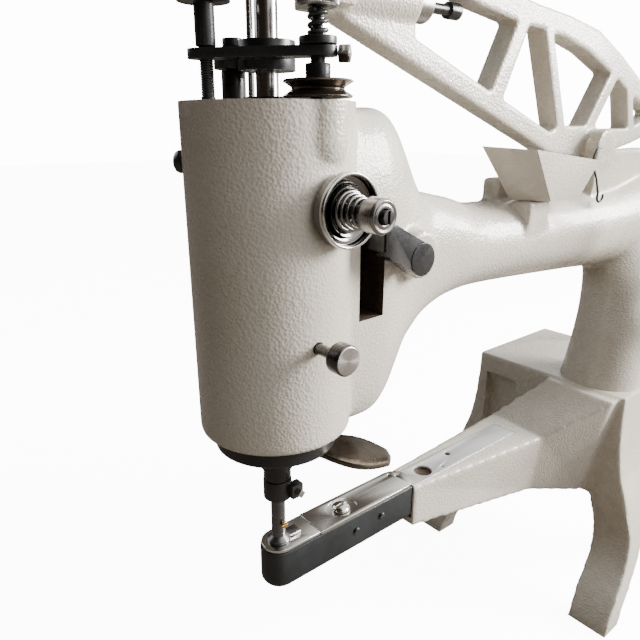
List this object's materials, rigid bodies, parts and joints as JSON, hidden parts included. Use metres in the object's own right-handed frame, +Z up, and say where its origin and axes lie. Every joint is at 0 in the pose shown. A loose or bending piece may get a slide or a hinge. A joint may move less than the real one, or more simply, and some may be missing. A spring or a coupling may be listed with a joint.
{
  "type": "leather sewing machine",
  "caption": "Hand-cranked patching machine for leather: cast head and arm on a clawed stand, truss lever to the needle bar, turning presser foot, shuttle in a slim lower arm.",
  "frame": {"origin": "centre of the overall box at floor level, under the machine, on the plane of its four feet", "axes": "+X from the needle head towards the hand wheel end along the arm, +Z up, -Y towards the side with the hand wheel and the thread tension"},
  "size_m": [0.547, 0.244, 0.454],
  "materials": {
    "cream_paint": "cream hammered paint over sand-cast iron, semi-gloss with a soft orange-peel texture",
    "black_steel": "blackened steel, smooth semi-gloss",
    "turned_steel": "turned steel with fine concentric tool marks",
    "nickel_plate": "polished nickel plate",
    "satin_alloy": "satin, fine lengthwise brushing",
    "blued_nose": "dark blue-grey blued steel, satin",
    "dark_bronze": "dark polished bronze with bright worn rims",
    "grip_black": "black turned grip, glossy"
  },
  "bodies": {
    "frame": {"bed_casting": "cream_paint", "slide_plate": "satin_alloy", "nose_housing": "blued_nose", "needle_plate": "black_steel", "nose_screw_front": "black_steel", "nose_screw_rear": "black_steel", "arm_casting": "cream_paint", "bar_bushing": "black_steel", "side_plug": "black_steel", "rocker_pin": "turned_steel", "tension_stud": "black_steel", "left_post": "black_steel", "short_post": "black_steel", "right_post": "black_steel", "guide_rod": "turned_steel", "bridge_plate": "black_steel", "bridge_screw": "turned_steel", "pivot_pin": "turned_steel", "tray": "cream_paint", "tray_screw": "turned_steel", "wire_hook": "black_steel", "post_spring": "black_steel", "tension_spring": "turned_steel", "presser_spring": "turned_steel"},
    "cover": {"nose_cover": "nickel_plate", "cover_knob": "nickel_plate"},
    "hook": {"shuttle_hook": "turned_steel"},
    "bobbin": {"bobbin": "satin_alloy"},
    "rack": {"shuttle_rack": "turned_steel"},
    "rocker": {"rack_rocker": "black_steel"},
    "link": {"shuttle_link": "black_steel"},
    "turret": {"direction_ring": "black_steel", "ring_handle": "dark_bronze"},
    "presser": {"presser_tube": "black_steel", "foot_clamp": "black_steel", "clamp_screw": "turned_steel", "presser_foot": "black_steel", "foot_screw": "turned_steel"},
    "bar": {"needle_bar": "turned_steel", "needle": "turned_steel", "crosshead": "black_steel"},
    "lifter": {"lifter": "black_steel"},
    "tension_disc": {"tension_cup": "nickel_plate"},
    "tension_knob": {"tension_nut": "turned_steel"},
    "thumb": {"thumbscrew": "turned_steel"},
    "guide_wheel": {"thread_wheel": "dark_bronze"},
    "post_knob": {"post_nut": "black_steel"},
    "lever": {"needle_lever": "cream_paint", "lever_nut": "turned_steel", "lever_bolt": "black_steel", "tail_pin": "turned_steel"},
    "rod": {"needle_rod": "black_steel"},
    "drive": {"main_shaft": "turned_steel", "hand_wheel": "cream_paint", "shaft_nut": "turned_steel", "grip_bolt": "turned_steel"},
    "grip": {"crank_grip": "grip_black"}
  },
  "joints": [
    {"name": "wheel_turn", "type": "hinge", "parent": "frame", "child": "drive", "pos_m": [0.1655, -0.056, 0.308], "axis": [0, 1, 0], "continuous": true},
    {"name": "grip_spin", "type": "hinge", "parent": "drive", "child": "grip", "pos_m": [0.24086, -0.092, 0.25523], "axis": [0, 1, 0], "continuous": true},
    {"name": "lever_swing", "type": "hinge", "parent": "frame", "child": "lever", "pos_m": [0.0415, 0.028, 0.351], "axis": [0, -1, 0], "range_deg": [0, 4.98]},
    {"name": "rod_swing", "type": "hinge", "parent": "lever", "child": "rod", "pos_m": [0.1655, 0.028, 0.375], "axis": [0, -1, 0], "range_deg": [-5.1, 0]},
    {"name": "bar_slide", "type": "slide", "parent": "frame", "child": "bar", "axis": [0, 0, -1], "range_m": [0, 0.0241]},
    {"name": "ring_turn", "type": "hinge", "parent": "frame", "child": "turret", "pos_m": [-0.2345, 0.028, 0.212], "axis": [0, 0, 1], "continuous": true},
    {"name": "lifter_swing", "type": "hinge", "parent": "frame", "child": "lifter", "pos_m": [-0.1765, 0.028, 0.305], "axis": [0, 1, 0], "range_deg": [0, 12.1]},
    {"name": "foot_lift", "type": "slide", "parent": "turret", "child": "presser", "axis": [0, 0, 1], "range_m": [0, 0.008], "deforming": ["presser_spring"]},
    {"name": "disc_spin", "type": "hinge", "parent": "frame", "child": "tension_disc", "pos_m": [-0.2255, -0.014, 0.3325], "axis": [0, 1, 0], "continuous": true},
    {"name": "knob_turn", "type": "hinge", "parent": "frame", "child": "tension_knob", "pos_m": [-0.2255, -0.039, 0.3325], "axis": [0, 1, 0], "range_deg": [-360, 360]},
    {"name": "thumb_turn", "type": "hinge", "parent": "frame", "child": "thumb", "pos_m": [-0.2369, -0.022, 0.272], "axis": [0, 1, 0], "range_deg": [-360, 360]},
    {"name": "guide_spin", "type": "hinge", "parent": "frame", "child": "guide_wheel", "pos_m": [-0.2295, -0.001, 0.38], "axis": [0, 0, 1], "continuous": true},
    {"name": "post_turn", "type": "hinge", "parent": "frame", "child": "post_knob", "pos_m": [-0.2295, -0.001, 0.412], "axis": [0, 0, 1], "range_deg": [-360, 360]},
    {"name": "cover_slide", "type": "slide", "parent": "frame", "child": "cover", "axis": [1, 0, 0], "range_m": [0, 0.025]},
    {"name": "rocker_swing", "type": "hinge", "parent": "frame", "child": "rocker", "pos_m": [0.1555, 0.028, 0.138], "axis": [0, -1, 0], "range_deg": [0, 23.8]},
    {"name": "link_swing", "type": "hinge", "parent": "rocker", "child": "link", "pos_m": [0.18094, 0.028, 0.13264], "axis": [0, -1, 0], "range_deg": [-24, 0]},
    {"name": "rack_slide", "type": "slide", "parent": "frame", "child": "rack", "axis": [1, 0, 0], "range_m": [0, 0.0042]},
    {"name": "hook_swing", "type": "hinge", "parent": "frame", "child": "hook", "pos_m": [-0.224, 0.028, 0.134], "axis": [0, 0, -1], "range_deg": [0, 79.5]},
    {"name": "bobbin_spin", "type": "hinge", "parent": "hook", "child": "bobbin", "pos_m": [-0.224, 0.028, 0.134], "axis": [0, 0, 1], "continuous": true}
  ],
  "couplings": [
    {"joint": "rod_swing", "follows": "lever_swing", "ratio": -1},
    {"joint": "bar_slide", "follows": "lever_swing", "m_per_rad": 0.276},
    {"joint": "lifter_swing", "follows": "foot_lift", "rad_per_m": 26.18},
    {"joint": "link_swing", "follows": "rocker_swing", "ratio": -1},
    {"joint": "rack_slide", "follows": "rocker_swing", "m_per_rad": 0.01},
    {"joint": "hook_swing", "follows": "rocker_swing", "ratio": 3.333}
  ]
}
